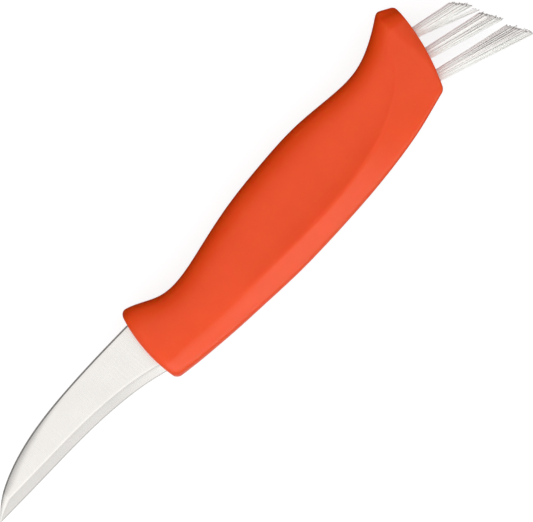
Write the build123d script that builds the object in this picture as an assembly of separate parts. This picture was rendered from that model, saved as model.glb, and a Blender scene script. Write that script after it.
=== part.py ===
from build123d import *
import math
import os

os.makedirs("parts", exist_ok=True)

# A mushroom knife: a short curved blade in a moulded grip, with three brush tufts in the butt.
# Everything is in millimetres. While it is modelled, the knife lies in the XY plane: +X runs from
# the blade to the brush, +Y to the back of the knife, and Z is its thickness, 0 in the middle.
# X = 0 is about where the grip begins. The last step moves it to its place on the table.

# Grip
grip_length = 110.0          # the stations of its cross-sections are shares of this
grip_back = 9.95             # height of the back's swell above the blade's axis
grip_belly = 18.0            # depth of the belly below the blade's axis
grip_half = 9.4              # half of the grip's thickness at its swell
grip_back_round = 7.0        # how far the back's rounding reaches down the flank
grip_corner = 1.1            # how far the bevel between the lower facet and the belly cuts both

# The grip's front face is an arc seen from the side, furthest forward at its apex
front_apex = -2.85
front_level = -5.8           # the apex's height, from the blade's axis
front_radius = 46.0

# The butt's face is an arc too, and leans forward below
butt_inset = 1.3             # its middle is this far short of grip_length
butt_level = -3.0
butt_radius = 62.0
butt_lean = 19.3             # degrees
butt_bevel = 0.6             # bevel along the butt face's edge

# Blade, seen from the side, and its cross-section
blade_reach = 63.4           # from X = 0 to the tip
blade_back = 9.95            # height of the spine above the axis
blade_heel = 7.34            # depth of the cutting edge where it meets the grip
blade_stock = 2.1            # thickness of the sheet, which the tang keeps
ground_depth = 0.05          # what grinding takes off each side in front of the grip
ground_gap = 0.3             # the ground flat ends this far in front of the grip
edge_thickness = 0.12        # what is left at the cutting edge
bevel_width = 2.9            # width of the sharpened bevel
spine_chamfer = 0.9          # width of the chamfer along the spine, seen from the side
spine_chamfer_depth = 0.45   # depth of that chamfer into the sheet
heel_inside = 3.2            # the full blade runs this far into the grip

# Tang
tang_length = 74.0           # from X = 0 to the tang's end
tang_height = 8.6
tang_level = -1.4            # height of its middle line, from the blade's axis
tang_corner = 2.0
keying_hole = 4.0            # holes that the grip's plastic flows through
keying_first = 26.0          # from X = 0 to the first of them
keying_pitch = 30.0
keying_count = 2

# Brush: tufts in a row of holes, each folded over a staple that is driven in with it
tuft_names = ["upper", "middle", "lower"]
tuft_hole = 3.4
tuft_hole_depth = 9.0
tuft_fit = 0.05              # room around a tuft's root in its hole
tuft_pitch = 6.55            # spacing along the butt's face
tuft_level = -1.85           # the middle tuft's place along that face, from its middle
tuft_lean = 18.6             # degrees: how far the middle tuft points down
tuft_turn = 1.4              # degrees: how much more the next tuft does
tuft_recess = 0.7            # a root ends this far inside the mouth of its hole
tuft_splays = [1.7, 2.1, 2.6]   # degrees: how far each tuft's outer bristles lean out
staple_width = 4.0           # across the hole: its ends bite into both walls
staple_height = 1.6
staple_thickness = 0.35
staple_depth = 7.4           # from the hole's mouth to the staple's middle
strand_corner = 0.125        # from a bristle's centre line to its corners
strand_sides = 3
strand_count = 100           # bristles in a tuft
strand_spread = 1.5          # from a tuft's middle to its outermost bristle, at the root
strand_sink = 0.4            # a bristle starts this deep in the root
trim_lean = 22.0             # degrees: the bristles are trimmed along a line that leans back
trim_reach = 14.04           # from the middle of the butt's face to that line

overrun = 20.0               # how far a cutting tool goes past what it cuts

# One row is one cross-section of the grip. Its columns are shares: station along grip_length,
# back's height of grip_back, crease's height of grip_belly, belly's depth of grip_belly,
# flank's, crease's and belly's half thickness of grip_half, depth of the back's rounding of
# grip_back_round, cut of the belly's bevels of grip_corner, how sharp the crease is, and the
# flank's slope where it meets the crease.
grip_shares = [
    (-0.045, 1.250, -0.320, 0.570, 0.76, 0.68, 0.36, 0.75, 2.00, 0.0, -0.34),
    (0.015, 1.245, -0.345, 0.650, 0.77, 0.69, 0.38, 0.75, 2.00, 0.0, -0.32),
    (0.049, 1.080, -0.360, 0.690, 0.78, 0.70, 0.40, 0.74, 1.90, 0.0, -0.30),
    (0.098, 0.771, -0.390, 0.739, 0.79, 0.72, 0.42, 0.72, 1.75, 0.0, -0.26),
    (0.162, 0.651, -0.440, 0.798, 0.81, 0.76, 0.44, 0.72, 1.55, 0.05, -0.20),
    (0.245, 0.749, -0.500, 0.861, 0.87, 0.84, 0.47, 0.78, 1.30, 0.35, -0.12),
    (0.368, 0.933, -0.570, 0.945, 0.95, 0.94, 0.50, 0.90, 1.10, 0.65, -0.06),
    (0.511, 1.000, -0.628, 0.990, 1.00, 0.98, 0.52, 1.00, 1.00, 0.85, -0.05),
    (0.643, 0.944, -0.620, 0.999, 0.97, 0.95, 0.53, 0.95, 1.00, 1.0, -0.05),
    (0.756, 0.746, -0.515, 0.970, 0.90, 0.88, 0.53, 0.80, 1.00, 1.0, -0.05),
    (0.835, 0.703, -0.322, 0.919, 0.86, 0.84, 0.53, 0.72, 1.00, 1.0, -0.05),
    (0.903, 0.909, -0.040, 0.845, 0.83, 0.815, 0.52, 0.75, 1.00, 1.0, -0.05),
    (0.945, 1.128, 0.230, 0.800, 0.80, 0.79, 0.51, 0.72, 1.00, 0.5, -0.08),
    (0.976, 1.320, 0.350, 0.770, 0.78, 0.77, 0.50, 0.68, 1.00, 0.1, -0.12),
]
horn_shares = [
    grip_shares[-1],
    (1.005, 1.110, 0.330, 0.742, 0.76, 0.75, 0.49, 0.64, 1.00, 0.0, -0.14),
    (1.040, 0.860, 0.250, 0.705, 0.74, 0.73, 0.48, 0.58, 1.00, 0.0, -0.16),
]

# Where the curves of a cross-section are led, as shares of the lengths they are drawn with
back_flat_share = 0.58       # the back is level this far out, of the flank's half thickness
shoulder_share = 0.22        # the rounding turns this far down, of its depth
flank_start_share = 1.1      # and is led as far as this, of the same depth
flank_swell_share = 1.02     # where the flank is led out to this, of its half thickness
flank_pull_share = 0.32      # pull of the flank at the crease, of the flank's height
facet_pull_share = 0.33      # pull at both ends of the lower facet, of its length


def mirrored(points):
    """The same points on the section's other side, in the order that closes it."""
    return [Vector(point.X, -point.Y) for point in reversed(points)]


def grip_section(row):
    """One closed cross-section of the grip, square to its length."""
    at, back, crease, belly, flank, crease_half, belly_half, rounding, corner, sharp, slope = row
    top = back * grip_back
    bottom = -belly * grip_belly
    flank_z = flank * grip_half
    depth = rounding * grip_back_round
    crease_at = Vector(crease * grip_belly, crease_half * grip_half)
    corner_at = Vector(bottom, belly_half * grip_half)
    corner_run = corner * grip_corner
    facet = (corner_at - crease_at).normalized()
    flank_end = Vector(-1, slope).normalized()
    facet_start = (flank_end * (1 - sharp) + facet * sharp).normalized()
    corner_start = corner_at - facet * corner_run
    flank_pull = flank_end * (flank_pull_share * (top - depth - crease_at.X))
    facet_pull = facet_pull_share * (corner_start - crease_at).length
    upper = [
        Vector(top, 0),
        Vector(top, back_flat_share * flank_z),
        Vector(top - shoulder_share * depth, flank_z),
        Vector(top - flank_start_share * depth, flank_swell_share * flank_z),
        crease_at - flank_pull,
        crease_at,
    ]
    lower = [
        crease_at,
        crease_at + facet_start * facet_pull,
        corner_start - facet * facet_pull,
        corner_start,
    ]
    bevel = [corner_start, Vector(bottom, corner_at.Y - corner_run)]
    edges = [
        Bezier(*upper),
        Bezier(*lower),
        Line(*bevel),
        Line(bevel[-1], mirrored(bevel)[0]),
        Line(*mirrored(bevel)),
        Bezier(*mirrored(lower)),
        Bezier(*mirrored(upper)),
    ]
    return Plane.YZ.offset(at * grip_length) * Wire(edges)


def grip_body():
    """The grip before its ends are cut: a smooth loft, and one more from the horn to the butt."""
    main = Solid.make_loft([grip_section(row) for row in grip_shares])
    horn = Solid.make_loft([grip_section(row) for row in horn_shares])
    return main + horn


def outside_arc(centre, radius, length, half_height, side):
    """A block that lies outside an arc on one side of its centre, and reaches a length past it."""
    align = Align.MAX if side < 0 else Align.MIN
    block = Rectangle(radius + length, 2 * radius, align=(align, Align.CENTER)) - Circle(radius)
    return Pos(centre.X, centre.Y) * extrude(block, amount=half_height, both=True)


def front_centre():
    """The centre of the front face's arc."""
    return Vector(front_apex + front_radius, front_level)


def butt_centre():
    """The centre of the butt's arc."""
    lean = Vector(1, 0).rotate(Axis.Z, -butt_lean)
    return butt_middle() - lean * butt_radius


def butt_middle():
    """The middle of the butt's face."""
    return Vector(grip_length - butt_inset, butt_level)


def butt_point(along):
    """A point of the butt's face, counted along it from its middle."""
    turn = math.degrees(along / butt_radius) - butt_lean
    return butt_centre() + Vector(butt_radius, 0).rotate(Axis.Z, turn)


def shaped_grip():
    """The grip's outer form: the loft with its ends cut along their arcs, the butt's one bevelled."""
    body = grip_body()
    body = body - outside_arc(front_centre(), front_radius, overrun, overrun, -1)
    body = body - outside_arc(butt_centre(), butt_radius, overrun, overrun, 1)
    butt = body.faces().filter_by(GeomType.CYLINDER).sort_by(Axis.X)[-1]
    return chamfer(butt.edges(), butt_bevel)


spine_shares = [
    (-1.0, 0.0),
    (-0.929, 0.358),
    (-0.826, 0.657),
    (-0.698, 0.864),
    (-0.545, 0.977),
    (-0.392, 1.0),
    (-0.187, 0.963),
    (0.052, 0.875),
]
edge_shares = [
    (-1.0, 0.0),
    (-0.852, -0.080),
    (-0.647, -0.177),
    (-0.443, -0.300),
    (-0.290, -0.471),
    (-0.136, -0.755),
    (-0.047, -1.0),
    (0.052, -1.33),
]


def spine_line(drop):
    """The blade's back, a distance below the spine."""
    return Spline(*[(x * blade_reach, y * blade_back - drop) for x, y in spine_shares])


def edge_line(rise):
    """The line of the cutting edge, a distance above it."""
    return Spline(*[(x * blade_reach, y * blade_heel + rise) for x, y in edge_shares])


def closed_over(line, level):
    """The face between an outline and a level line, carried straight on past the outline's ends."""
    start, end = line @ 0, line @ 1
    far_start = start - (line % 0) * overrun
    far_end = end + (line % 1) * overrun
    rest = Polyline(
        end, far_end, (far_end.X, level), (far_start.X, level), far_start, start
    )
    return make_face([line, *rest.edges()])


def plate(levels, line, far_level):
    """A plate through the sheet's thickness, whose outline moves in by the amount at each level."""
    return loft([Pos(0, 0, z) * closed_over(line(move), far_level) for z, move in levels], ruled=True)


def blade_blank():
    """The blade's plate with its ground bevels and its spine chamfers, as far as the heel."""
    half = blade_stock / 2
    edge_half = edge_thickness / 2
    side_half = half - spine_chamfer_depth
    bevels = [(-half, bevel_width), (-edge_half, 0), (edge_half, 0), (half, bevel_width)]
    chamfers = [(-half, spine_chamfer), (-side_half, 0), (side_half, 0), (half, spine_chamfer)]
    bevelled = plate(bevels, edge_line, blade_back + overrun)
    backed = plate(chamfers, spine_line, -blade_heel - 2 * overrun)
    reach = Rectangle(
        blade_reach + heel_inside + overrun, 4 * overrun, align=(Align.MAX, Align.CENTER)
    )
    return bevelled & backed & Pos(heel_inside, 0) * extrude(reach, amount=blade_stock, both=True)


def ground_zone(side):
    """What grinding takes off one side of the sheet, everywhere in front of the grip."""
    zone = outside_arc(
        front_centre(), front_radius + ground_gap, blade_reach + overrun, ground_depth, -1
    )
    return Pos(0, 0, side * blade_stock / 2) * zone


def tang():
    """The narrow end of the sheet that the grip is moulded over, with its keying holes."""
    length = tang_length - heel_inside / 2
    outline = Pos(tang_length, tang_level) * Rectangle(
        length, tang_height, align=(Align.MAX, Align.CENTER)
    )
    outline = fillet(outline.vertices().group_by(Axis.X)[-1], tang_corner)
    for number in range(keying_count):
        outline -= Pos(keying_first + number * keying_pitch, tang_level) * Circle(keying_hole / 2)
    return extrude(outline, amount=blade_stock / 2, both=True)


def blade_with_tang():
    """The whole blade: one piece of sheet from the tip to the tang's end."""
    blank = blade_blank()
    for side in (-1, 1):
        blank -= ground_zone(side)
    return blank + tang()


def tuft_frame(number):
    """The place of a tuft's hole: its origin is the hole's mouth and its Z axis points outwards."""
    mouth = butt_point(tuft_level - (number - 1) * tuft_pitch)
    lean = tuft_lean + (number - 1) * tuft_turn
    outwards = Vector(1, 0).rotate(Axis.Z, -lean)
    return Plane(origin=mouth, x_dir=(0, 0, 1), z_dir=outwards)


def tuft_hole_tool(number):
    """What is taken out of the grip for a tuft: its hole, on past the face that it opens in."""
    foot = (Align.CENTER, Align.CENTER, Align.MIN)
    hole = Cylinder(tuft_hole / 2, tuft_hole_depth + overrun, align=foot)
    return tuft_frame(number) * Pos(0, 0, -tuft_hole_depth) * hole


def staple(number):
    """A flat wire staple, driven across the bottom of its hole until its ends bite into the walls."""
    body = Box(staple_width, staple_thickness, staple_height)
    return tuft_frame(number) * Pos(0, 0, -staple_depth) * body


def strand_places():
    """Centres of a tuft's bristles where they leave the root, packed as evenly as seeds in a head."""
    turn = math.pi * (3 - math.sqrt(5))
    places = []
    for number in range(strand_count):
        radius = strand_spread * math.sqrt((number + 0.5) / strand_count)
        places.append((radius * math.cos(number * turn), radius * math.sin(number * turn)))
    return places


def strand(number, place):
    """One bristle, from inside its tuft's root to the line that the brush is trimmed along."""
    frame = tuft_frame(number)
    start = Vector(place[0], place[1], -tuft_recess)
    splay = math.tan(math.radians(tuft_splays[number])) / strand_spread
    root = frame.from_local_coords(start)
    ahead = frame.from_local_coords(start + Vector(place[0] * splay, place[1] * splay, 1))
    heading = (ahead - root).normalized()
    trim = Vector(1, 0).rotate(Axis.Z, trim_lean)
    length = (trim_reach - (root - butt_middle()).dot(trim)) / heading.dot(trim)
    foot = Plane(origin=root - heading * strand_sink, x_dir=(0, 0, 1), z_dir=heading)
    return extrude(foot * RegularPolygon(strand_corner, strand_sides), amount=length + strand_sink)


def tuft(number):
    """A tuft: the packed root that fills its hole round the staple, with its bristles on it."""
    reach = tuft_hole_depth - tuft_recess
    foot = (Align.CENTER, Align.CENTER, Align.MIN)
    root = Cylinder(tuft_hole / 2 - tuft_fit, reach, align=foot)
    root = tuft_frame(number) * Pos(0, 0, -tuft_hole_depth) * root - staple(number)
    return root.fuse(*[strand(number, place) for place in strand_places()])


def grip_with_holes(blade):
    """The moulded grip: its plastic fills the keying holes and fits the tang and the staples."""
    body = shaped_grip() - blade
    for number in range(len(tuft_names)):
        body -= tuft_hole_tool(number)
        body -= staple(number)
    return body


def pieces():
    """Every piece of the knife by its node's name, where it is modelled."""
    blade = blade_with_tang()
    made = {"blade": blade, "handle": grip_with_holes(blade)}
    for number, name in enumerate(tuft_names):
        made[f"{name}_tuft"] = tuft(number)
        made[f"{name}_tuft_staple"] = staple(number)
    return made


# The knife lies on its side on a table: the origin is under the middle of the whole knife.
made = pieces()
box = Compound(list(made.values())).bounding_box()
place = Pos(-box.center().X, -box.center().Y, -box.min.Z)
for name, piece in made.items():
    export_step(place * piece, f"parts/{name}.step")
    print(name, round(piece.volume, 3), piece.is_valid, len(piece.solids()))
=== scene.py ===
import math

import bmesh
import bpy
import numpy as np
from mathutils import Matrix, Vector


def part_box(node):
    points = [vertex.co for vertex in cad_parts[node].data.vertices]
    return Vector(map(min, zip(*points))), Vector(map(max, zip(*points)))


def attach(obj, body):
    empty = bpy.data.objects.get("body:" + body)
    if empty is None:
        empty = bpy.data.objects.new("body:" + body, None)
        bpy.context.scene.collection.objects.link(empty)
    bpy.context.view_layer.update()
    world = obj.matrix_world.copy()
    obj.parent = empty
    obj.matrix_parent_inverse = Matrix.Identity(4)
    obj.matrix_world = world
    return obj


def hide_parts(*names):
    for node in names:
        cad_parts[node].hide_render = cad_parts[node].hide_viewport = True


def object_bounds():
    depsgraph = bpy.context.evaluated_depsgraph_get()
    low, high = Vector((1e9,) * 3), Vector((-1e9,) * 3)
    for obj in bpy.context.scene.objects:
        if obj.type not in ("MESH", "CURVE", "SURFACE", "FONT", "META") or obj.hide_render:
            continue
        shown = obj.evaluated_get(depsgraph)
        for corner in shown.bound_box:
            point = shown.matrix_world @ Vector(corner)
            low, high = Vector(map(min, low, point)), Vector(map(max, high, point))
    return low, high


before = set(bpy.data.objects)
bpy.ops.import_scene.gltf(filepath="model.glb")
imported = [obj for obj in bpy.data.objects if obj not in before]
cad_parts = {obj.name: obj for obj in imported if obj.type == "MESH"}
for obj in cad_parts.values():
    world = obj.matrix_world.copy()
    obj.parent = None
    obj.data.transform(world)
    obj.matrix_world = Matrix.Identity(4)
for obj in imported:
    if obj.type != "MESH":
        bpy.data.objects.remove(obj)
cad_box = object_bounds()

# Lengths are in millimetres and in the frame the knife is modelled in: X from the blade to the
# brush with 0 near the grip's front, Y to the back, Z through the thickness with 0 in the middle.
MM = 0.001
BLADE_REACH = 63.4
blade_verts = np.array([v.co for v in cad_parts["blade"].data.vertices])
tip = blade_verts[blade_verts[:, 0].argmin()]
grip_low, grip_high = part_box("handle")
SHIFT = np.array([tip[0] / MM + BLADE_REACH, tip[1] / MM, (grip_low.z + grip_high.z) / 2 / MM])
BOX = np.array([list(corner) for corner in cad_box]) / MM - SHIFT

# Edges that turn by more than this stay sharp, in degrees
SHARP_BLADE, SHARP_GRIP, SHARP_BRISTLE = 22, 40, 50


def placed(points):
    """Points of the modelling frame, in the shared frame and in metres."""
    return (np.asarray(points, float) + SHIFT) * MM


def shade_smooth(mesh, degrees):
    """Makes a mesh smooth but for its sharp edges."""
    mesh.polygons.foreach_set("use_smooth", [True] * len(mesh.polygons))
    mesh.set_sharp_from_angle(angle=math.radians(degrees))


def add_object(name, data):
    """An object in the scene that shows a mesh, a lamp or a camera."""
    added = bpy.data.objects.new(name, data)
    bpy.context.scene.collection.objects.link(added)
    return added


def add_mesh(name, verts, faces, material, degrees):
    """A mesh object from points in the modelling frame."""
    mesh = bpy.data.meshes.new(name)
    mesh.from_pydata(placed(verts).tolist(), [], faces)
    mesh.validate()
    shade_smooth(mesh, degrees)
    mesh.materials.append(material)
    mesh.update()
    return add_object(name, mesh)


def weld(piece, distance):
    """Joins points that lie on each other, and turns all faces outwards."""
    bm = bmesh.new()
    bm.from_mesh(piece.data)
    bmesh.ops.remove_doubles(bm, verts=bm.verts, dist=distance)
    bmesh.ops.dissolve_degenerate(bm, dist=distance / 10, edges=bm.edges)
    bmesh.ops.recalc_face_normals(bm, faces=bm.faces)
    bm.to_mesh(piece.data)
    bm.free()


def ring_faces(base, rings, count):
    """Faces between neighbouring rings of points, which follow each other from place base on."""
    faces = []
    for ring in range(rings - 1):
        p, q = base + ring * count, base + (ring + 1) * count
        for k in range(count):
            m = (k + 1) % count
            faces.append((p + k, p + m, q + m, q + k))
    return faces


# Materials

class Tree:
    """Short calls for building the node tree of a material or of the world."""

    def __init__(self, owner):
        owner.use_nodes = True
        self.tree = owner.node_tree
        self.tree.nodes.clear()
        self.place = self.add("ShaderNodeTexCoord")

    def add(self, kind, **settings):
        node = self.tree.nodes.new(kind)
        for key, value in settings.items():
            setattr(node, key, value)
        return node

    def link(self, a, out, b, into):
        self.tree.links.new(a.outputs[out], b.inputs[into])

    def ramp(self, source, out, stops):
        """A colour ramp through stops of (place, colour)."""
        ramp = self.add("ShaderNodeValToRGB")
        while len(ramp.color_ramp.elements) < len(stops):
            ramp.color_ramp.elements.new(0.5)
        for element, (at, color) in zip(ramp.color_ramp.elements, stops):
            element.position = at
            element.color = (*color, 1.0)
        self.link(source, out, ramp, "Fac")
        return ramp


class Nodes(Tree):
    """One material's node tree, with its shader in place."""

    def __init__(self, name):
        self.material = bpy.data.materials.new(name)
        super().__init__(self.material)
        self.shader = self.add("ShaderNodeBsdfPrincipled")
        self.link(self.shader, "BSDF", self.add("ShaderNodeOutputMaterial"), "Surface")

    def set(self, **values):
        for key, value in values.items():
            self.shader.inputs[key.replace("_", " ")].default_value = value

    def stretched(self, scale):
        mapping = self.add("ShaderNodeMapping")
        mapping.inputs["Scale"].default_value = scale
        self.link(self.place, "Object", mapping, "Vector")
        return mapping

    def noise(self, scale, detail, roughness, source=None):
        noise = self.add("ShaderNodeTexNoise")
        noise.inputs["Scale"].default_value = scale
        noise.inputs["Detail"].default_value = detail
        noise.inputs["Roughness"].default_value = roughness
        if source is None:
            self.link(self.place, "Object", noise, "Vector")
        else:
            self.link(source, "Vector", noise, "Vector")
        return noise

    def colored(self, source, dark, pale, start=0.3, end=0.7):
        """Gives the shader a colour that runs from dark to pale with a noise."""
        ramp = self.ramp(source, "Fac", [(start, dark), (end, pale)])
        self.link(ramp, "Color", self.shader, "Base Color")

    def roughened(self, source, low, high):
        """Gives the shader a roughness that runs from low to high with a noise."""
        spread = self.add("ShaderNodeMapRange")
        spread.inputs["To Min"].default_value = low
        spread.inputs["To Max"].default_value = high
        self.link(source, "Fac", spread, "Value")
        self.link(spread, "Result", self.shader, "Roughness")

    def bump(self, source, strength, distance, before=None):
        bump = self.add("ShaderNodeBump")
        bump.inputs["Strength"].default_value = strength
        bump.inputs["Distance"].default_value = distance
        self.link(source, "Fac", bump, "Height")
        if before is not None:
            self.link(before, "Normal", bump, "Normal")
        return bump


def plastic_material():
    """Moulded orange plastic: a fine matt grain, faint flow clouds and a soft sheen."""
    n = Nodes("orange_plastic")
    clouds = n.noise(90.0, detail=4.0, roughness=0.55)
    n.colored(clouds, dark=(0.85, 0.070, 0.001), pale=(0.89, 0.077, 0.004))
    n.roughened(clouds, low=0.29, high=0.35)
    wave = n.noise(420.0, detail=3.0, roughness=0.5)
    grain = n.noise(3800.0, detail=2.0, roughness=0.6)
    soft = n.bump(wave, strength=0.12, distance=0.0001)
    fine = n.bump(grain, strength=0.25, distance=0.00003, before=soft)
    n.link(fine, "Normal", n.shader, "Normal")
    n.set(IOR=1.5, Specular_IOR_Level=0.36, Subsurface_Weight=0.6, Subsurface_Scale=0.005)
    n.set(Subsurface_Radius=(1.0, 0.12, 0.4))
    return n.material


def steel_material(name, tone, low, high, lines_per_metre):
    """Ground stainless steel: fine lines across the blade, and faint clouding."""
    n = Nodes(name)
    stretched = n.stretched((lines_per_metre, 80.0, 80.0))
    lines = n.noise(1.0, detail=4.0, roughness=0.6, source=stretched)
    clouds = n.noise(120.0, detail=4.0, roughness=0.55)
    dark = (tone * 0.97, tone * 0.942, tone * 0.905)
    pale = (tone * 1.03, tone * 1.0, tone * 0.962)
    n.colored(clouds, dark, pale, start=0.25, end=0.75)
    n.roughened(lines, low, high)
    scratch = n.bump(lines, strength=0.03, distance=0.00001)
    n.link(scratch, "Normal", n.shader, "Normal")
    n.set(Metallic=1.0)
    return n.material


def nylon_material():
    """Pale nylon bristle, faintly clouded and softly shiny."""
    n = Nodes("nylon_bristle")
    clouds = n.noise(900.0, detail=2.0, roughness=0.5)
    n.colored(clouds, dark=(0.97, 0.945, 0.92), pale=(0.99, 0.97, 0.95))
    n.set(Roughness=0.4, IOR=1.53)
    return n.material


def trimmed_material():
    """The bristles' cut ends: duller and darker than their sides."""
    n = Nodes("trimmed_nylon")
    grain = n.noise(2500.0, detail=2.0, roughness=0.5)
    n.colored(grain, dark=(0.48, 0.47, 0.455), pale=(0.64, 0.63, 0.61))
    n.set(Roughness=0.6)
    return n.material


def brass_material():
    """Drawn brass wire, a little dull."""
    n = Nodes("drawn_brass")
    stretched = n.stretched((400.0, 4000.0, 4000.0))
    lines = n.noise(1.0, detail=3.0, roughness=0.6, source=stretched)
    n.colored(lines, dark=(0.62, 0.45, 0.19), pale=(0.74, 0.57, 0.28))
    n.roughened(lines, low=0.30, high=0.42)
    n.set(Metallic=1.0)
    return n.material


PLASTIC = plastic_material()
STEEL = steel_material("satin_steel", 0.96, 0.24, 0.31, 5200.0)
# The bevel's steel is a little darker in tone than the flat's, partly painted shade for the bevel's
# darker look; its smoother finish is its own.
BEVEL_STEEL = steel_material("honed_bevel_painted_shade", 0.89, 0.14, 0.19, 3600.0)
# The edge strip's steel is painted much darker than the rest: painted shade for the dark line along
# the cutting edge.
SHADED_EDGE_STEEL = steel_material("edge_strip_painted_shade", 0.55, 0.22, 0.30, 3600.0)
NYLON = nylon_material()
TRIMMED = trimmed_material()
BRASS = brass_material()

# Grip: the solid's outline and stations, with a deeper flank, a sharper crease and rounded edges

GRIP_LENGTH = 110.0
GRIP_BACK, GRIP_BELLY, GRIP_HALF = 9.95, 18.0, 9.395
GRIP_BACK_ROUND, GRIP_CORNER = 7.0, 1.3
FRONT_CENTRE = np.array([43.15, -5.8])
FRONT_RADIUS = 46.0
BUTT_LEAN = math.radians(19.3)
BUTT_RADIUS = 62.0
BUTT_MIDDLE = np.array([108.7, -3.0])
BUTT_NORMAL = np.array([math.cos(BUTT_LEAN), -math.sin(BUTT_LEAN)])
BUTT_CENTRE = BUTT_MIDDLE - BUTT_RADIUS * BUTT_NORMAL

# Columns: station, back's height, crease's height, belly's depth, flank's, crease's and belly's
# half thickness, depth of the back's rounding, belly's corner, sharpness and slope at the crease
SECTIONS = np.array([
    (-0.045, 1.250, -0.320, 0.570, 0.76, 0.68, 0.36, 0.75, 2.00, 0.0, -0.34),
    (0.015, 1.245, -0.345, 0.650, 0.77, 0.69, 0.38, 0.75, 2.00, 0.0, -0.32),
    (0.049, 1.080, -0.360, 0.690, 0.78, 0.70, 0.40, 0.74, 1.90, 0.0, -0.30),
    (0.098, 0.771, -0.390, 0.739, 0.79, 0.72, 0.42, 0.72, 1.75, 0.0, -0.26),
    (0.162, 0.651, -0.440, 0.798, 0.81, 0.76, 0.44, 0.72, 1.55, 0.15, -0.14),
    (0.245, 0.749, -0.512, 0.861, 0.87, 0.85, 0.47, 0.76, 1.30, 0.65, 0.08),
    (0.368, 0.933, -0.590, 0.945, 0.94, 0.95, 0.50, 0.82, 1.10, 0.95, 0.24),
    (0.511, 1.000, -0.657, 0.990, 0.98, 0.99, 0.52, 0.86, 1.00, 1.0, 0.30),
    (0.643, 0.944, -0.640, 0.999, 0.95, 0.97, 0.53, 0.82, 1.00, 1.0, 0.32),
    (0.756, 0.746, -0.525, 0.970, 0.89, 0.90, 0.53, 0.76, 1.00, 1.0, 0.28),
    (0.835, 0.703, -0.335, 0.919, 0.855, 0.85, 0.53, 0.72, 1.00, 1.0, 0.20),
    (0.903, 0.909, -0.040, 0.845, 0.83, 0.815, 0.52, 0.75, 1.00, 1.0, 0.06),
    (0.945, 1.128, 0.230, 0.800, 0.79, 0.785, 0.51, 0.72, 1.00, 0.5, -0.08),
    (0.976, 1.320, 0.350, 0.770, 0.76, 0.76, 0.50, 0.68, 1.00, 0.1, -0.12),
    (1.005, 1.110, 0.330, 0.742, 0.67, 0.71, 0.485, 0.60, 1.00, 0.0, -0.14),
    (1.040, 0.860, 0.250, 0.705, 0.58, 0.66, 0.47, 0.52, 1.00, 0.0, -0.16),
])

# The horn's crest, where two curves through the rows meet. A section near it is a weighted mean
# of sections up to CREST_REACH to either side, which fades out beside the crest over CREST_FADE.
# Both are stations, and the weights are pairs of (share of the reach, weight).
HORN_ROW = 13
CREST_REACH, CREST_FADE = 0.011, 0.02
CREST_WEIGHTS = [
    (-1.0, 0.5), (-0.6, 1.0), (-0.25, 1.4), (0.0, 1.5), (0.25, 1.4), (0.6, 1.0), (1.0, 0.5),
]

# Where the curves of a cross-section are led, as shares of the lengths they are drawn with
BACK_FLAT = 0.58        # the back is level this far out, of the flank's half thickness
SHOULDER = 0.22         # the rounding turns this far down, of its depth
FLANK_START = 1.1       # and is led as far as this, of the same depth
FLANK_SWELL = 1.06      # where the flank is led out to this, of its half thickness
FLANK_PULL = 0.5        # pull of the flank at the crease, of the flank's height
FACET_PULL = 0.33       # pull at both ends of the lower facet, of its length

# Points along the back with its flank, the lower facet, the belly's rounding and the belly
UPPER_POINTS, FACET_POINTS, ROUND_POINTS, BELLY_POINTS = 64, 22, 9, 7

# Skin: fine sections from before the front's face to behind the butt's, and its rows between them
FINE_START, FINE_END, FINE_COUNT = -0.044, 1.038, 900
SKIN_ROWS = 230
CROWDING = 0.12         # how much closer the rows lie towards both ends

# Ends: how far the rounding of an edge reaches along the side
FRONT_ROUND, FRONT_FLANK_ROUND = 1.5, 1.7       # in the middle plane, and what flanks add to it
BUTT_ROUND = 1.0
FLANK_OUT = 4.5                                 # the flanks add all of it from this far out
FULLNESS = 0.72                                 # how far the rounding is led towards its corner
FRONT_CORE, BUTT_CORE = (-9.0, 10.0), (-9.5, 7.5)       # heights between which a face closes
FRONT_ROUND_ROWS, BUTT_ROUND_ROWS, FACE_ROWS = 10, 12, 9

# How far the rear bevel reaches onto the flank, beyond the edge's own rounding, by height. Where
# it reaches BEVEL_FULL it is flattest, and it takes BEVEL_INSET more of the butt's face.
REAR_BEVEL = ([-12.0, -8.0, -4.0, 1.6, 5.4, 12.0], [0.0, 0.5, 1.8, 3.6, 4.6, 5.4])
BEVEL_FULL, BEVEL_INSET, BEVEL_FLATTER = 3.6, 1.1, 0.42


def curve_through(x, y, at):
    """A smooth curve through the points (natural cubic spline), read at some places."""
    n = len(x)
    h = np.diff(x)
    system = np.zeros((n, n))
    right = np.zeros((n, y.shape[1]))
    system[0, 0] = system[-1, -1] = 1.0
    for i in range(1, n - 1):
        system[i, i - 1:i + 2] = h[i - 1], 2 * (h[i - 1] + h[i]), h[i]
        right[i] = 6 * ((y[i + 1] - y[i]) / h[i] - (y[i] - y[i - 1]) / h[i - 1])
    bend = np.linalg.solve(system, right)
    i = np.clip(np.searchsorted(x, at) - 1, 0, n - 2)
    a = ((x[i + 1] - at) / h[i])[:, None]
    b = 1 - a
    step = (h[i] ** 2 / 6)[:, None]
    return a * y[i] + b * y[i + 1] + ((a ** 3 - a) * bend[i] + (b ** 3 - b) * bend[i + 1]) * step


def section_rows(stations):
    """The columns at any stations; the crest of the horn is softened over about a millimetre."""
    x = SECTIONS[:, 0]
    crest = x[HORN_ROW]

    def sharp(at):
        main = curve_through(x[:HORN_ROW + 1], SECTIONS[:HORN_ROW + 1], np.minimum(at, crest))
        horn = curve_through(x[HORN_ROW:], SECTIONS[HORN_ROW:], np.maximum(at, crest))
        return np.where((at <= crest)[:, None], main, horn)

    total = sum(w for _, w in CREST_WEIGHTS)
    near = np.clip(1.5 - np.abs(stations - crest) / CREST_FADE, 0, 1)
    rows = sum(w * sharp(stations + side * CREST_REACH * near) for side, w in CREST_WEIGHTS) / total
    rows[:, 0] = stations
    return rows


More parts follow.
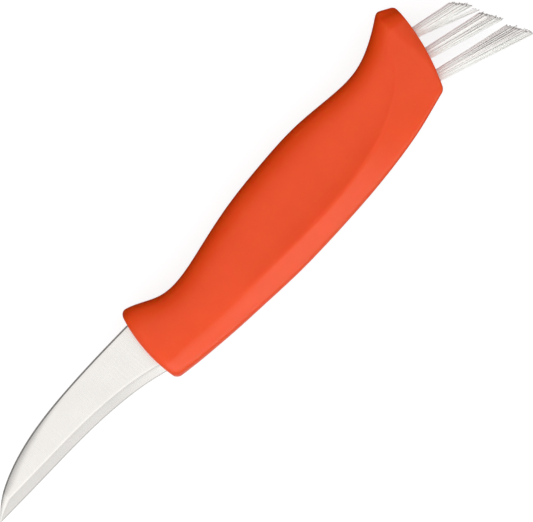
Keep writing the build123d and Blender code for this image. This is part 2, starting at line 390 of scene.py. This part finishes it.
def bezier(points, count):
    """Points along a Bezier curve whose control points are arrays of (rows, 2)."""
    t = np.linspace(0, 1, count)[None, :, None]
    level = [p[:, None, :] for p in points]
    while len(level) > 1:
        level = [a + (b - a) * t for a, b in zip(level, level[1:])]
    return level[0]


def unit(v):
    return v / np.linalg.norm(v, axis=-1, keepdims=True)


def sections(stations):
    """The grip's cross-sections as (stations, ring) points, each from the back's middle round."""
    r = section_rows(stations)
    top, bottom = r[:, 1] * GRIP_BACK, -r[:, 3] * GRIP_BELLY
    flank_z, depth = r[:, 4] * GRIP_HALF, r[:, 7] * GRIP_BACK_ROUND
    crease = np.stack([r[:, 2] * GRIP_BELLY, r[:, 5] * GRIP_HALF], 1)
    corner = np.stack([bottom, r[:, 6] * GRIP_HALF], 1)
    run = (r[:, 8] * GRIP_CORNER)[:, None]
    sharp = np.clip(r[:, 9], 0, 1)[:, None]
    facet = unit(corner - crease)
    flank_end = unit(np.stack([-np.ones(len(r)), r[:, 10]], 1))
    facet_start = unit(flank_end * (1 - sharp) + facet * sharp)
    corner_start = corner - facet * run
    pull = flank_end * (FLANK_PULL * (top - depth - crease[:, 0]))[:, None]
    give = FACET_PULL * np.linalg.norm(corner_start - crease, axis=1)[:, None]

    def at(y, z):
        return np.stack([y, z], 1)

    upper = bezier([
        at(top, 0 * top), at(top, BACK_FLAT * flank_z), at(top - SHOULDER * depth, flank_z),
        at(top - FLANK_START * depth, FLANK_SWELL * flank_z), crease - pull, crease,
    ], UPPER_POINTS)
    lower = bezier([
        crease, crease + facet_start * give, corner_start - facet * give, corner_start,
    ], FACET_POINTS)
    inner = corner - np.concatenate([0 * run, run], 1)
    round_off = bezier([corner_start, corner, inner], ROUND_POINTS)
    belly = bezier([inner, at(bottom, 0 * bottom)], BELLY_POINTS)
    half = np.concatenate([upper, lower[:, 1:], round_off[:, 1:], belly[:, 1:]], 1)
    other = half[:, -2:0:-1] * np.array([1.0, -1.0])
    ring = np.concatenate([half, other], 1)
    x = np.broadcast_to((stations * GRIP_LENGTH)[:, None], ring.shape[:2])
    return np.dstack([x, ring])


def front_x(y):
    return FRONT_CENTRE[0] - np.sqrt(FRONT_RADIUS ** 2 - (y - FRONT_CENTRE[1]) ** 2)


def butt_x(y):
    return BUTT_CENTRE[0] + np.sqrt(BUTT_RADIUS ** 2 - (y - BUTT_CENTRE[1]) ** 2)


def crossings(line):
    """Where a lengthwise line meets the front's and the butt's face, counted in its points."""
    ahead = line[:, 0] - front_x(line[:, 1])
    first = int(np.argmax(ahead > 0))
    behind = butt_x(line[:, 1]) - line[:, 0]
    last = len(behind) - 1 - int(np.argmax(behind[::-1] > 0))
    return np.array([
        first - ahead[first] / (ahead[first] - ahead[first - 1]),
        last + behind[last] / (behind[last] - behind[last + 1]),
    ])


def along(line, at):
    """Points on a line at places counted in its own points."""
    i = np.clip(np.floor(at).astype(int), 0, len(line) - 2)
    f = (at - i)[:, None]
    return line[i] * (1 - f) + line[i + 1] * f


def end_rows(edge, side, core_heights, face_x, setback, fullness, rounds):
    """Rows that round an end's edge and close its face, from the side's last row inwards."""
    core = edge.copy()
    core[:, 1] = np.clip(edge[:, 1], *core_heights)
    core[:, 2] = 0.0
    inward = core[:, 1:] - edge[:, 1:]
    gap = np.linalg.norm(inward, axis=1, keepdims=True)
    face = edge.copy()
    face[:, 1:] += inward / gap * np.minimum(setback[:, None], 0.8 * gap)
    face[:, 0] = face_x(face[:, 1])
    rows = []
    for t in np.linspace(0, 1, rounds + 1)[1:]:
        a, b, c = (1 - t) ** 2, 2 * t * (1 - t) * fullness[:, None], t * t
        rows.append((a * side + b * edge + c * face) / (a + b + c))
    for t in np.linspace(0, 1, FACE_ROWS + 1)[1:]:
        row = face + (core - face) * t
        row[:, 0] = face_x(row[:, 1])
        rows.append(row)
    return rows


def on_flank(point):
    """Nought in the middle plane, one out on the flanks."""
    out = np.clip(abs(point[2]) / FLANK_OUT, 0, 1)
    return out * out * (3 - 2 * out)


def grip_mesh():
    """The grip's whole skin as rings, from the middle of its front to the middle of its butt."""
    grid = sections(np.linspace(FINE_START, FINE_END, FINE_COUNT))
    for _ in range(2):
        near = (np.roll(grid, 1, 1) + np.roll(grid, -1, 1)) / 2
        grid = grid + 0.5 * (near - grid)
    count = grid.shape[1]
    rows = np.arange(FINE_COUNT)
    front_back, butt_back = np.zeros(count), np.zeros(count)
    front_edge, butt_edge, body = [], [], []
    t = np.linspace(0, 1, SKIN_ROWS)
    t = t - CROWDING * np.sin(2 * math.pi * t) / math.pi
    for c in range(count):
        line = grid[:, c]
        ends = crossings(line)
        steps = np.linalg.norm(np.diff(line, axis=0), axis=1)
        length = np.concatenate([[0], np.cumsum(steps)])
        start, end = np.interp(ends, rows, length)
        front, butt = along(line, ends)
        front_edge.append(front)
        butt_edge.append(butt)
        front_back[c] = FRONT_ROUND + on_flank(front) * FRONT_FLANK_ROUND
        butt_back[c] = BUTT_ROUND + on_flank(butt) * np.interp(butt[1], *REAR_BEVEL)
        back0 = np.interp(start + front_back[c], length, rows)
        back1 = np.interp(end - butt_back[c], length, rows)
        body.append(along(line, back0 + (back1 - back0) * t))
    body = np.array(body).transpose(1, 0, 2)
    front_edge, butt_edge = np.array(front_edge), np.array(butt_edge)
    front_rows = end_rows(
        front_edge, body[0], FRONT_CORE, front_x, FRONT_ROUND + (front_back - FRONT_ROUND) / 3,
        np.full(count, FULLNESS), FRONT_ROUND_ROWS,
    )
    flat = np.minimum((butt_back - BUTT_ROUND) / BEVEL_FULL, 1.0)
    butt_rows = end_rows(
        butt_edge, body[-1], BUTT_CORE, butt_x, BUTT_ROUND + BEVEL_INSET * flat,
        FULLNESS - BEVEL_FLATTER * flat, BUTT_ROUND_ROWS,
    )
    skin = np.array(front_rows[::-1] + list(body) + butt_rows)
    return skin.reshape(-1, 3), ring_faces(0, len(skin), count)


# Blade: a sheet between its spine and its edge, ground flat, with its bevels and spine chamfers

BLADE_BACK, BLADE_HEEL = 9.95, 7.34
SPINE = np.array([
    (-1.0, 0.0), (-0.929, 0.358), (-0.826, 0.657), (-0.698, 0.864), (-0.545, 0.977),
    (-0.392, 1.0), (-0.187, 0.963), (0.052, 0.875),
]) * [BLADE_REACH, BLADE_BACK]
EDGE = np.array([
    (-1.0, 0.0), (-0.852, -0.080), (-0.647, -0.177), (-0.443, -0.300), (-0.290, -0.471),
    (-0.136, -0.755), (-0.047, -1.0), (0.052, -1.33),
]) * [BLADE_REACH, BLADE_HEEL]
OUTLINE_POINTS = 600

# Half thicknesses: of the ground flat, at the cutting edge, and the least anywhere
BLADE_HALF, EDGE_HALF, THINNEST = 1.0, 0.06, 0.03

# Columns from just behind the tip to this far inside the grip, closer together near the tip
TIP_GAP, HEEL_INSIDE = 0.02, 3.0
BLADE_COLUMNS, TIP_CROWDING = 420, 1.25

# Widths seen from the side, and the share of the height there that each keeps to near the tip
BEVEL_WIDTH, BEVEL_SHARE = 2.9, 0.55    # the sharpened bevel, of the blade's height
SPINE_CUT, SPINE_SHARE = 0.48, 0.25     # the spine's chamfer, of what lies above the bevel
SOFT_WIDTH, SOFT_SHARE = 0.45, 0.25     # the soft line over the bevel, to each side, of the bevel
KEEN_WIDTH, KEEN_SHARE = 0.3, 0.3       # the rougher strip along the edge, painted darker as shade, of the bevel
SPINE_SLOPE = 0.9                       # how steeply the chamfer goes into the sheet

# The flat's fall towards the spine, by place along the blade: how wide it is, with the share of
# the flat that it keeps to, and how steep it ends
SWELL, SWELL_SHARE = ([-62, -54, -40, -26], [1.4, 2.2, 1.5, 0.2]), 0.6
FALL = ([-54, -40, -26], [0.26, 0.24, 0.15])

# Rows across the blade: through the bevel, over its soft line, up the flat and up the chamfer
BEVEL_ROWS, FLAT_ROWS = 6, 25
SOFT_STEPS = (0.2, 0.4, 0.5, 0.6, 0.8, 1.0)
SPINE_STEPS = (0.33, 0.67, 1.0)
BEVEL_LINE = 1 + BEVEL_ROWS + SOFT_STEPS.index(0.5)

# Places of the three steels in the blade's list of materials
FLAT_SLOT, BEVEL_SLOT, SHADED_EDGE_SLOT = 0, 1, 2


def outline(points, x):
    """The height of an outline at some places along the blade."""
    chord = np.concatenate([[0], np.cumsum(np.linalg.norm(np.diff(points, axis=0), axis=1))])
    fine = curve_through(chord, points, np.linspace(0, chord[-1], OUTLINE_POINTS))
    return np.interp(x, fine[:, 0], fine[:, 1])


def blade_grid():
    """The places of the blade's columns, and its rows' heights and half thicknesses there."""
    x = -BLADE_REACH + TIP_GAP
    x = x + (BLADE_REACH + HEEL_INSIDE) * np.linspace(0, 1, BLADE_COLUMNS) ** TIP_CROWDING
    spine, edge = outline(SPINE, x), outline(EDGE, x)
    bevel = np.minimum(BEVEL_WIDTH, BEVEL_SHARE * (spine - edge))
    rise = (BLADE_HALF - EDGE_HALF) / BEVEL_WIDTH
    low = edge + bevel
    cut = np.minimum(SPINE_CUT, SPINE_SHARE * (spine - low))
    high = spine - cut
    soft = np.minimum(SOFT_WIDTH, SOFT_SHARE * bevel)
    swell = np.minimum(np.interp(x, *SWELL), SWELL_SHARE * (high - low))
    fall = np.interp(x, *FALL)
    keen = edge + np.minimum(KEEN_WIDTH, KEEN_SHARE * bevel)
    rows = [edge] + [keen + (low - soft - keen) * t for t in np.linspace(0, 1, BEVEL_ROWS)]
    rows += [low - soft + 2 * soft * t for t in SOFT_STEPS]
    rows += [rows[-1] + (high - rows[-1]) * t for t in np.linspace(0, 1, FLAT_ROWS)[1:]]
    rows += [high + cut * t for t in SPINE_STEPS]

    def half(y):
        climb = EDGE_HALF + (y - edge) * rise
        near = np.clip((y - (low - soft)) / (2 * soft), 0, 1)
        rounded = EDGE_HALF + (low - soft - edge) * rise + rise * 2 * soft * (near - near ** 2 / 2)
        body = np.where(y < low - soft, climb, rounded)
        roll = np.clip((y - (high - swell)) / np.maximum(swell, 0.01), 0, 1)
        body = body - 0.5 * fall * swell * roll ** 2
        return body - np.clip(y - high, 0, None) * SPINE_SLOPE

    return x, np.array(rows), np.array([np.maximum(half(y), THINNEST) for y in rows])


def blade_mesh():
    """The blade's skin, as columns from the tip into the grip, and its faces' materials."""
    x, heights, depth = blade_grid()
    count = len(heights)
    verts = []
    for c in range(len(x)):
        verts += [(x[c], heights[r, c], depth[r, c]) for r in range(count)]
        verts += [(x[c], heights[r, c], -depth[r, c]) for r in reversed(range(count))]
    ring = 2 * count
    faces, slots = [], []
    for c in range(len(x) - 1):
        p, q = c * ring, (c + 1) * ring
        for r in range(ring):
            n = (r + 1) % ring
            faces.append((p + r, q + r, q + n, p + n))
            from_edge = min(r, ring - 2 - r)
            # The strip next to the edge gets the steel painted darker as shade.
            if from_edge < 1:
                slots.append(SHADED_EDGE_SLOT)
            elif from_edge < BEVEL_LINE:
                slots.append(BEVEL_SLOT)
            else:
                slots.append(FLAT_SLOT)
    faces.append(tuple(range(ring)))
    last = (len(x) - 1) * ring
    faces.append(tuple(last + r for r in reversed(range(ring))))
    return verts, faces, slots + [SHADED_EDGE_SLOT, FLAT_SLOT]


def make_blade():
    verts, faces, slots = blade_mesh()
    blade = add_mesh("ground_blade", verts, faces, STEEL, SHARP_BLADE)
    blade.data.materials.append(BEVEL_STEEL)
    blade.data.materials.append(SHADED_EDGE_STEEL)
    for polygon, slot in zip(blade.data.polygons, slots):
        polygon.material_index = slot
    weld(blade, 0.002 * MM)
    shade_smooth(blade.data, SHARP_BLADE)
    return blade


# Brush: tufts in a row of holes along the butt's face

TUFTS = ["upper", "middle", "lower"]
TUFT_PITCH, TUFT_LEVEL = 6.55, -1.85
TUFT_LEAN, TUFT_TURN = 18.6, 1.4        # degrees down: of the middle tuft, and more for the next
SIDE = np.array([0.0, 0.0, 1.0])
HOLE_RADIUS, HOLE_DEPTH, HOLE_OVERRUN, HOLE_SIDES = 1.7, 9.0, 6.0, 48

# A tuft's packed root as circles: how far outside the hole's mouth, and their radius
TUFT_ROOT = [(-8.8, 0.2), (-8.8, 1.62), (-1.6, 1.62), (-1.25, 1.35), (-1.15, 0.7), (-1.1, 0.15)]
ROOT_SIDES = 40

# Bristles: thin tubes that start in a spiral pattern inside the hole and lean apart
STRAND_COUNT, STRAND_SIDES, STRAND_STEPS = 230, 6, 8
STRAND_RADIUS = 0.112
STRAND_SPREAD, STRAND_SINK = 1.5, 2.5
SPLAYS, SPLAY_GAIN = [1.5, 2.1, 2.5], 1.1      # degrees by tuft, and what multiplies them
TURN_SCATTER, LEAN_SCATTER = 0.1, 0.002
BEND, WOBBLE, WOBBLE_TURN = 0.12, 0.05, 5

# They are trimmed along a line that leans back; by tuft, how much longer they are than that, and
# how much shorter again towards the top
TRIM_LEAN, TRIM_REACH = math.radians(22), 14.04
TRIM_SLANTS = [(0.2, 0.8), (-0.3, 0.25), (-1.5, 0.4)]
CUT_END = 0.3           # length of the dull, trimmed end
SEED = 11
BOX_ROOM = 0.01         # bristles stay this far inside the CAD model's box

# Loose bristles under the upper tuft: their places from the end of its list, and their lean in
# degrees; they start on the tuft's lower side
STRAY_LEANS = {3: 8.4, 5: 6.4, 7: 7.5, 9: 5.4}
STRAY_ROOT = -1.0


def tuft_place(number):
    """A tuft's mouth on the butt's face, its outward direction and the direction up across it."""
    turn = (TUFT_LEVEL - (number - 1) * TUFT_PITCH) / BUTT_RADIUS - BUTT_LEAN
    mouth = BUTT_CENTRE + BUTT_RADIUS * np.array([math.cos(turn), math.sin(turn)])
    lean = math.radians(TUFT_LEAN + (number - 1) * TUFT_TURN)
    out = np.array([math.cos(lean), -math.sin(lean), 0.0])
    up = np.array([math.sin(lean), math.cos(lean), 0.0])
    return np.array([*mouth, 0.0]), out, up


def circle(centre, up, side, radius, count):
    """Points round a centre, that begin above it and turn to its side."""
    turns = [2 * math.pi * k / count for k in range(count)]
    return [centre + (up * math.cos(turn) + side * math.sin(turn)) * radius for turn in turns]


def add_tube(verts, faces, circles):
    """Adds a closed tube through circles of points: its sides, its far end and its near end."""
    base, count = len(verts), len(circles[0])
    for points in circles:
        verts += points
    faces += ring_faces(base, len(circles), count)
    faces.append(tuple(len(verts) - count + k for k in range(count)))
    faces.append(tuple(base + k for k in reversed(range(count))))


def hole_tool():
    """Three cylinders that bore the tufts' holes."""
    verts, faces = [], []
    for number in range(len(TUFTS)):
        mouth, out, up = tuft_place(number)
        near, far = len(verts), len(verts) + HOLE_SIDES
        for reach in (-HOLE_DEPTH, HOLE_OVERRUN):
            verts += circle(mouth + out * reach, up, SIDE, HOLE_RADIUS, HOLE_SIDES)
        faces.append(tuple(near + k for k in range(HOLE_SIDES)))
        faces.append(tuple(far + k for k in reversed(range(HOLE_SIDES))))
        for k in range(HOLE_SIDES):
            m = (k + 1) % HOLE_SIDES
            faces.append((near + k, far + k, far + m, near + m))
    return verts, faces


def make_grip():
    grip = add_mesh("moulded_grip", *grip_mesh(), PLASTIC, SHARP_GRIP)
    weld(grip, 0.02 * MM)
    tool = add_mesh("hole_tool", *hole_tool(), PLASTIC, SHARP_GRIP)
    weld(tool, 0.001 * MM)
    cut = grip.modifiers.new("holes", "BOOLEAN")
    cut.operation = "DIFFERENCE"
    cut.solver = "EXACT"
    cut.object = tool
    bpy.context.view_layer.update()
    bored = grip.evaluated_get(bpy.context.evaluated_depsgraph_get())
    result = bpy.data.meshes.new_from_object(bored)
    grip.modifiers.clear()
    grip.data = result
    bpy.data.objects.remove(tool)
    shade_smooth(result, SHARP_GRIP)
    return grip


def strands(number):
    """One tuft's bristles, which bend a little and are trimmed on a slant, and their cut faces."""
    rng = np.random.default_rng(SEED + number)
    mouth, out, up = tuft_place(number)
    splay = math.radians(SPLAYS[number]) * SPLAY_GAIN
    trim = np.array([math.cos(TRIM_LEAN), math.sin(TRIM_LEAN), 0.0])
    middle = np.array([*BUTT_MIDDLE, 0.0])
    longer, shorter_above = TRIM_SLANTS[number]
    golden = math.pi * (3 - math.sqrt(5))

    def drift(amount):
        return up * rng.normal(0, amount) + SIDE * rng.normal(0, amount)

    verts, faces, cut = [], [], []
    for i in range(STRAND_COUNT):
        radius = STRAND_SPREAD * math.sqrt((i + 0.5) / STRAND_COUNT)
        turn = i * golden + rng.normal(0, TURN_SCATTER)
        a, b = radius * math.cos(turn), radius * math.sin(turn)
        lean_a = splay * a / STRAND_SPREAD + rng.normal(0, LEAN_SCATTER)
        lean_b = splay * b / STRAND_SPREAD + rng.normal(0, LEAN_SCATTER)
        stray = number == 0 and STRAND_COUNT - i in STRAY_LEANS
        if stray:
            a, b = STRAY_ROOT, rng.uniform(-0.5, 0.5)
            lean_a = -math.radians(STRAY_LEANS[STRAND_COUNT - i])
        root = mouth + up * a + SIDE * b - out * STRAND_SINK
        heading = unit(out + up * math.tan(lean_a) + SIDE * math.tan(lean_b))
        length = (TRIM_REACH - (root - middle) @ trim) / (heading @ trim) + rng.normal(-0.15, 0.3)
        length += longer - shorter_above * a / STRAND_SPREAD
        bend = drift(BEND) * (not stray)
        wobble = drift(WOBBLE)
        phase = rng.uniform(0, 6.28)
        width = STRAND_RADIUS * rng.uniform(0.9, 1.08)
        x_dir = unit(np.cross(heading, SIDE))
        y_dir = np.cross(heading, x_dir)
        circles = []
        for t in (*np.linspace(0, 1 - CUT_END / length, STRAND_STEPS), 1.0):
            swing = wobble * math.sin(phase + WOBBLE_TURN * t) * t
            centre = root + heading * length * t + bend * t * t + swing
            circles.append(circle(centre, x_dir, y_dir, width, STRAND_SIDES))
        add_tube(verts, faces, circles)
        cut += range(len(faces) - 2 - STRAND_SIDES, len(faces) - 1)
    return verts, faces, cut


def make_tuft(number, name):
    verts, faces, cut = strands(number)
    verts = list(np.clip(verts, BOX[0] + BOX_ROOM, BOX[1] - BOX_ROOM))
    mouth, out, up = tuft_place(number)
    add_tube(verts, faces, [
        circle(mouth + out * reach, up, SIDE, radius, ROOT_SIDES) for reach, radius in TUFT_ROOT
    ])
    tuft = add_mesh(f"{name}_bristles", verts, faces, NYLON, SHARP_BRISTLE)
    tuft.data.materials.append(TRIMMED)
    for face in cut:
        tuft.data.polygons[face].material_index = 1
    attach(tuft, "root")
    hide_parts(f"{name}_tuft")


blade = make_blade()
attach(blade, "root")
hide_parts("blade")
grip = make_grip()
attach(grip, "root")
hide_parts("handle")
for number, name in enumerate(TUFTS):
    make_tuft(number, name)
    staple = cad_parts[f"{name}_tuft_staple"].data
    staple.materials.clear()
    staple.materials.append(BRASS)

# Floor, light and camera

FLOOR_HALF = 3.0
LIGHT_AXIS = (-0.27, -0.34, 0.90)       # overhead, towards the tip and the belly
GLEAM_AXIS = (-0.35, -0.94, 0.0)        # level, on the belly's side

# Light from the room by direction: nought faces away from the axis, one faces it
LIGHT_STOPS = [
    (0.0, (0.16, 0.075, 0.105)), (0.413, (0.20, 0.09, 0.125)), (0.5, (0.26, 0.12, 0.16)),
    (0.629, (0.47, 0.30, 0.35)), (0.75, (0.90, 0.80, 0.82)), (0.854, (1.38, 1.40, 1.36)),
    (0.953, (1.06, 1.22, 1.20)), (1.0, (1.02, 1.20, 1.18)),
]
GLEAM_STOPS = [
    (0.0, 0.26), (0.093, 0.26), (0.198, 0.28), (0.265, 0.36), (0.339, 0.54), (0.418, 0.77),
    (0.5, 0.92), (0.59, 1.10), (0.645, 1.06), (0.71, 0.84), (0.765, 0.74), (0.80, 0.78),
    (0.84, 1.5), (0.88, 2.4), (0.93, 2.8), (1.0, 3.0),
]


def floor_material():
    """Pale floor: white to the camera but for shadows, with a painted glow on the lamp's side for
    reflections.
    """
    material = bpy.data.materials.new("pale_floor")
    n = Tree(material)
    diffuse = n.add("ShaderNodeBsdfDiffuse")
    diffuse.inputs["Color"].default_value = (0.32, 0.32, 0.32, 1)
    glow = n.add("ShaderNodeEmission")
    path = n.add("ShaderNodeLightPath")
    seen = n.add("ShaderNodeMath", operation="MULTIPLY")
    seen.inputs[1].default_value = 0.80
    n.link(path, "Is Camera Ray", seen, 0)
    n.link(seen, "Value", glow, "Strength")
    both = n.add("ShaderNodeAddShader")
    n.link(diffuse, "BSDF", both, 0)
    n.link(glow, "Emission", both, 1)
    # Painted light: on the lamp's side the floor glows for glossy rays only, a bright strip that
    # reflections pick up.
    lit_side = n.add("ShaderNodeVectorMath", operation="DOT_PRODUCT")
    lit_side.inputs[1].default_value = (-0.5, -0.86, 0.0)
    n.link(n.place, "Object", lit_side, 0)
    near = n.add("ShaderNodeMapRange")
    for socket, value in (("From Min", -0.004), ("From Max", 0.016), ("To Max", 0.7)):
        near.inputs[socket].default_value = value
    n.link(lit_side, "Value", near, "Value")
    gleam = n.add("ShaderNodeEmission")
    n.link(near, "Result", gleam, "Strength")
    mix = n.add("ShaderNodeMixShader")
    n.link(path, "Is Glossy Ray", mix, 0)
    n.link(both, "Shader", mix, 1)
    n.link(gleam, "Emission", mix, 2)
    n.link(mix, "Shader", n.add("ShaderNodeOutputMaterial"), "Surface")
    return material


def make_floor():
    mesh = bpy.data.meshes.new("floor")
    s = FLOOR_HALF
    mesh.from_pydata([(-s, -s, 0), (s, -s, 0), (s, s, 0), (-s, s, 0)], [], [(0, 1, 2, 3)])
    mesh.materials.append(floor_material())
    floor = add_object("floor", mesh)


def room_light(n, axis, stops):
    """Light that follows the angle from an axis: the stops run from facing away to facing it."""
    dot = n.add("ShaderNodeVectorMath", operation="DOT_PRODUCT")
    dot.inputs[1].default_value = Vector(axis).normalized()
    n.link(n.place, "Generated", dot, 0)
    half = n.add("ShaderNodeMapRange")
    half.inputs["From Min"].default_value = -1.0
    n.link(dot, "Value", half, "Value")
    room = n.add("ShaderNodeBackground")
    n.link(n.ramp(half, "Result", stops), "Color", room, "Color")
    return room


def make_world():
    """A soft room that lights from above and gleams from the belly's side, white to the camera."""
    world = bpy.data.worlds.new("room")
    bpy.context.scene.world = world
    n = Tree(world)
    light = room_light(n, LIGHT_AXIS, LIGHT_STOPS)
    gleam = room_light(n, GLEAM_AXIS, [(at, (value,) * 3) for at, value in GLEAM_STOPS])
    white = n.add("ShaderNodeBackground")
    white.inputs["Color"].default_value = (1, 1, 1, 1)
    path = n.add("ShaderNodeLightPath")
    shiny = n.add("ShaderNodeMixShader")
    n.link(path, "Is Glossy Ray", shiny, "Fac")
    n.link(light, "Background", shiny, 1)
    n.link(gleam, "Background", shiny, 2)
    mix = n.add("ShaderNodeMixShader")
    n.link(path, "Is Camera Ray", mix, "Fac")
    n.link(shiny, "Shader", mix, 1)
    n.link(white, "Background", mix, 2)
    n.link(mix, "Shader", n.add("ShaderNodeOutputWorld"), "Surface")


def add_lamp(name, place, target, size, watts):
    data = bpy.data.lights.new(name, "AREA")
    data.shape = "DISK"
    data.size = size
    data.energy = watts
    lamp = add_object(name, data)
    lamp.location = place
    lamp.rotation_euler = (Vector(target) - Vector(place)).to_track_quat("-Z", "Y").to_euler()


# The photograph's framing: millimetres to a pixel, its size in pixels, the knife's roll, and
# where the modelling frame's origin lies in it; and the camera that looks straight down
PIXEL = 0.27
WIDTH, HEIGHT = 533, 522
ROLL = math.radians(49.3)
ORIGIN_PX = np.array([153.35, 345.3])
DISTANCE = 2.4
SENSOR = 36.0
CLIP = (0.01, 20.0)


def make_camera():
    along_px = np.array([math.cos(ROLL), -math.sin(ROLL)])
    across_px = np.array([-math.sin(ROLL), -math.cos(ROLL)])
    middle = np.array([WIDTH / 2, HEIGHT / 2]) - ORIGIN_PX
    centre = placed([(middle @ along_px) * PIXEL, (middle @ across_px) * PIXEL, 0.0])
    data = bpy.data.cameras.new("camera")
    data.sensor_fit = "HORIZONTAL"
    data.sensor_width = SENSOR
    data.lens = SENSOR * DISTANCE / (WIDTH * PIXEL * MM)
    data.clip_start, data.clip_end = CLIP
    camera = add_object("camera", data)
    camera.location = (centre[0], centre[1], centre[2] + DISTANCE)
    camera.rotation_euler = (0.0, 0.0, -ROLL)
    bpy.context.scene.camera = camera


make_floor()
make_world()
add_lamp("key", place=(-0.45, -0.76, 0.36), target=(0.0, 0.0, 0.01), size=0.80, watts=0.4)
make_camera()
view = bpy.context.scene.view_settings
view.view_transform = "Standard"
